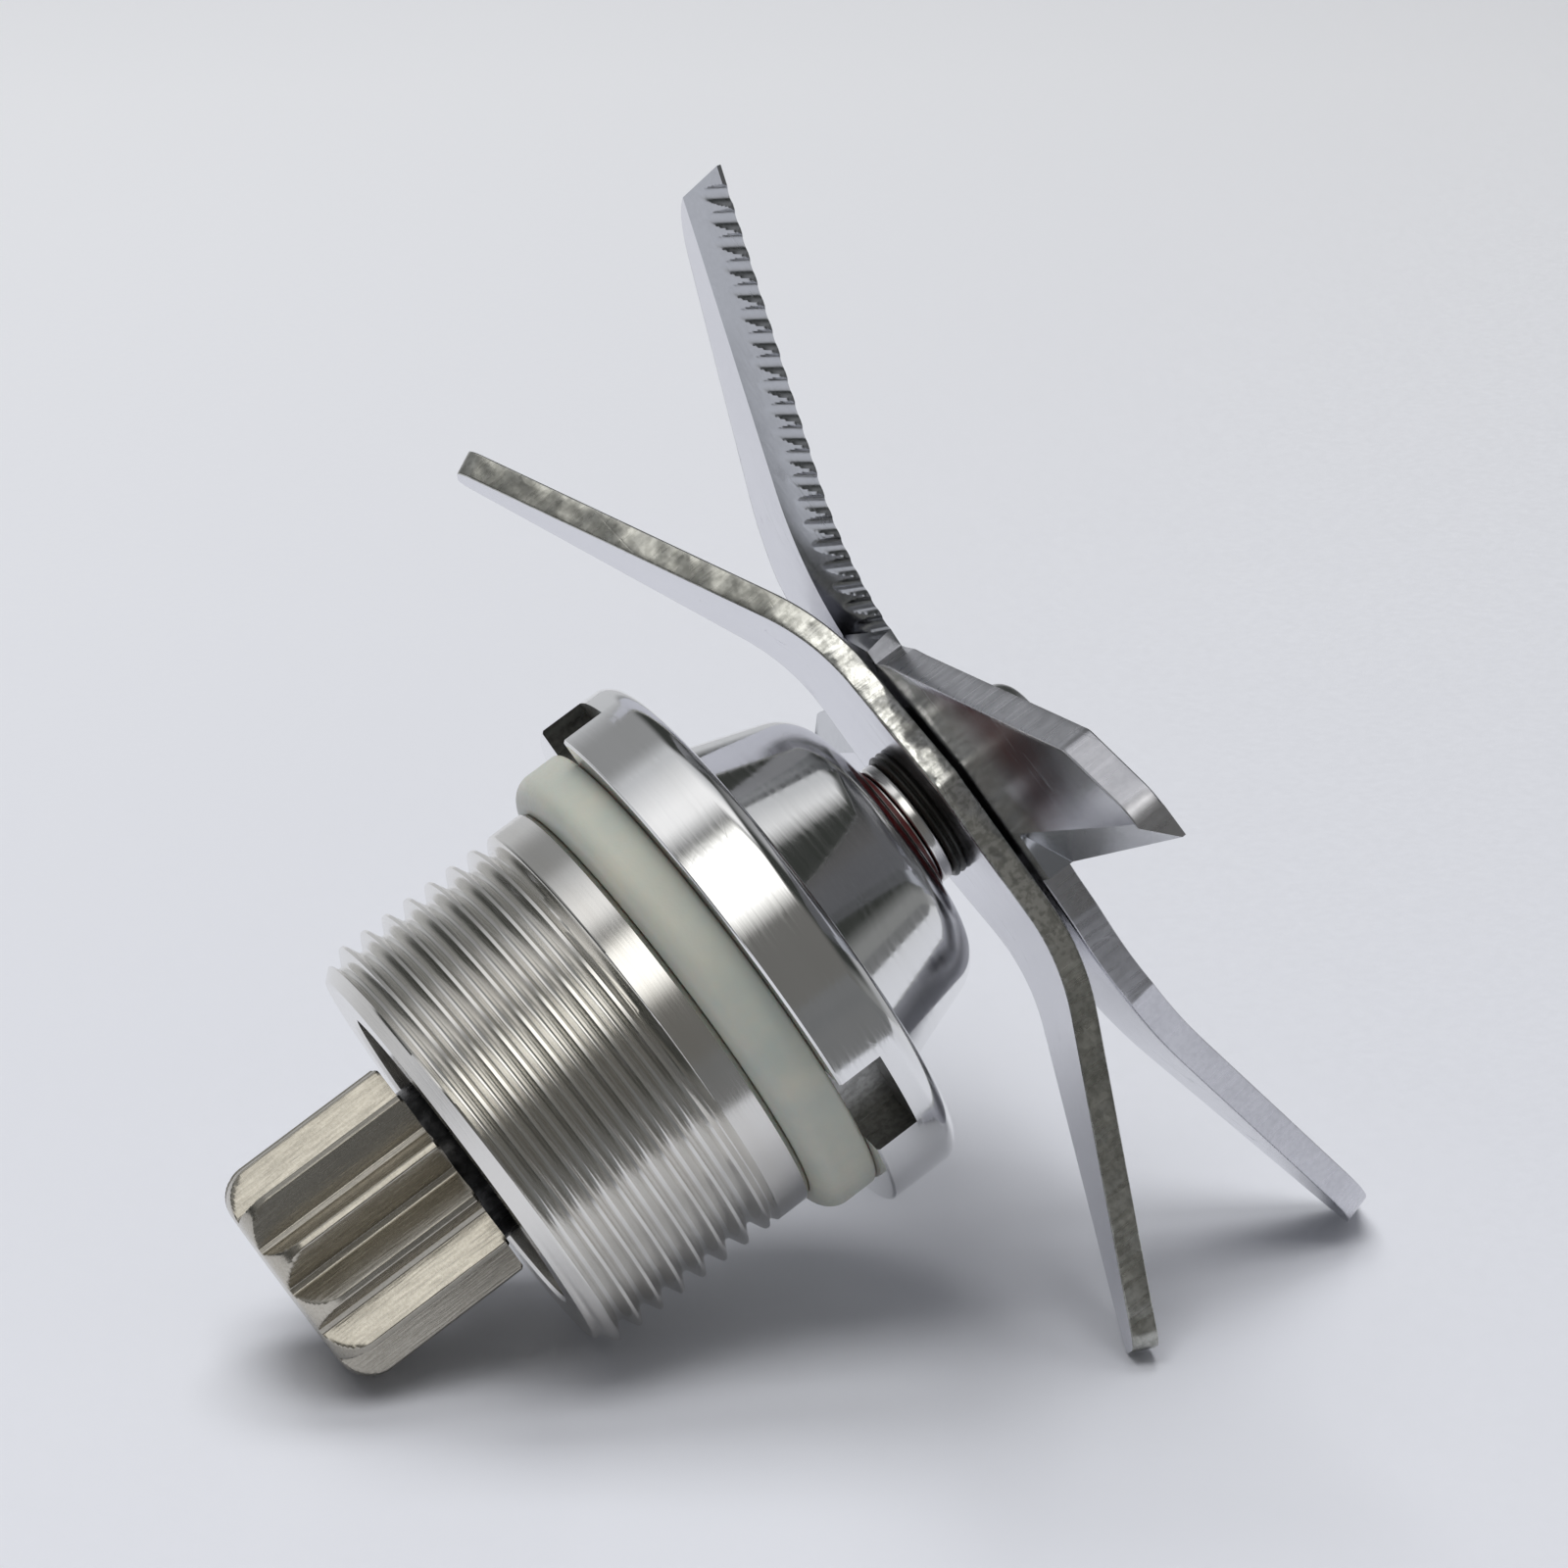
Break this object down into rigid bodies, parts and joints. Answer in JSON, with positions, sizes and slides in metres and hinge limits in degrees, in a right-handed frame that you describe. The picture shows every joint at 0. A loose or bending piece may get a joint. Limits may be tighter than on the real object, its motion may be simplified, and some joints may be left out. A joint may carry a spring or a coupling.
{
  "type": "blender blade assembly",
  "caption": "Blender blade unit: threaded aluminium base with notched flange, gasket and domed top, toothed drive below, bent and serrated steel blades above, turning on ball bearings.",
  "frame": {"origin": "on the shaft's axis, at the underside of the housing's flange, where the jar's floor is clamped", "axes": "+Z along the shaft from the drive end to the blades; +X is the azimuth from which arms are counted, 5.6 degrees from the lower blade's long axis"},
  "size_m": [0.0932, 0.0946, 0.0728],
  "materials": {
    "aluminium": "turned and polished",
    "silicone": "milky, matte",
    "spring_steel": "dark oiled",
    "inner_steel": "turned",
    "nickel": "satin nickel",
    "red_rubber": "matte",
    "washer_steel": "bright",
    "black_rubber": "matte",
    "blade_steel": "satin, ground edges",
    "shim_plastic": "dark",
    "nut_chrome": "bright",
    "bearing_steel": "ground",
    "ball_chrome": "polished",
    "cage_plastic": "moulded",
    "shield_steel": "pressed sheet"
  },
  "bodies": {
    "housing": {"housing": "aluminium", "gasket": "silicone", "circlip": "spring_steel", "outer_sleeve": "inner_steel", "shaft_seal": "red_rubber", "garter_spring": "spring_steel", "lower_outer_ring": "bearing_steel", "upper_outer_ring": "bearing_steel", "lower_shields": "shield_steel", "upper_shields": "shield_steel"},
    "rotor": {"shaft": "inner_steel", "drive_spline": "nickel", "spline_spacer": "inner_steel", "inner_sleeve": "inner_steel", "lower_inner_ring": "bearing_steel", "upper_inner_ring": "bearing_steel", "thrust_washer": "washer_steel", "spacer_collar": "black_rubber", "lower_blade": "blade_steel", "blade_shim": "shim_plastic", "upper_blade": "blade_steel", "lock_washer": "spring_steel", "cap_nut": "nut_chrome"},
    "lower_cage": {"lower_cage": "cage_plastic", "lower_balls": "ball_chrome"},
    "upper_cage": {"upper_cage": "cage_plastic", "upper_balls": "ball_chrome"}
  },
  "joints": [
    {"name": "rotor_spin", "type": "hinge", "parent": "housing", "child": "rotor", "pos_m": [0, 0, 0], "axis": [0, 0, 1], "continuous": true},
    {"name": "lower_cage_spin", "type": "hinge", "parent": "housing", "child": "lower_cage", "pos_m": [0, 0, -0.0176], "axis": [0, 0, 1], "continuous": true},
    {"name": "upper_cage_spin", "type": "hinge", "parent": "housing", "child": "upper_cage", "pos_m": [0, 0, 0.0003], "axis": [0, 0, 1], "continuous": true}
  ],
  "couplings": [
    {"joint": "lower_cage_spin", "follows": "rotor_spin", "ratio": 0.36772},
    {"joint": "upper_cage_spin", "follows": "rotor_spin", "ratio": 0.36772}
  ]
}
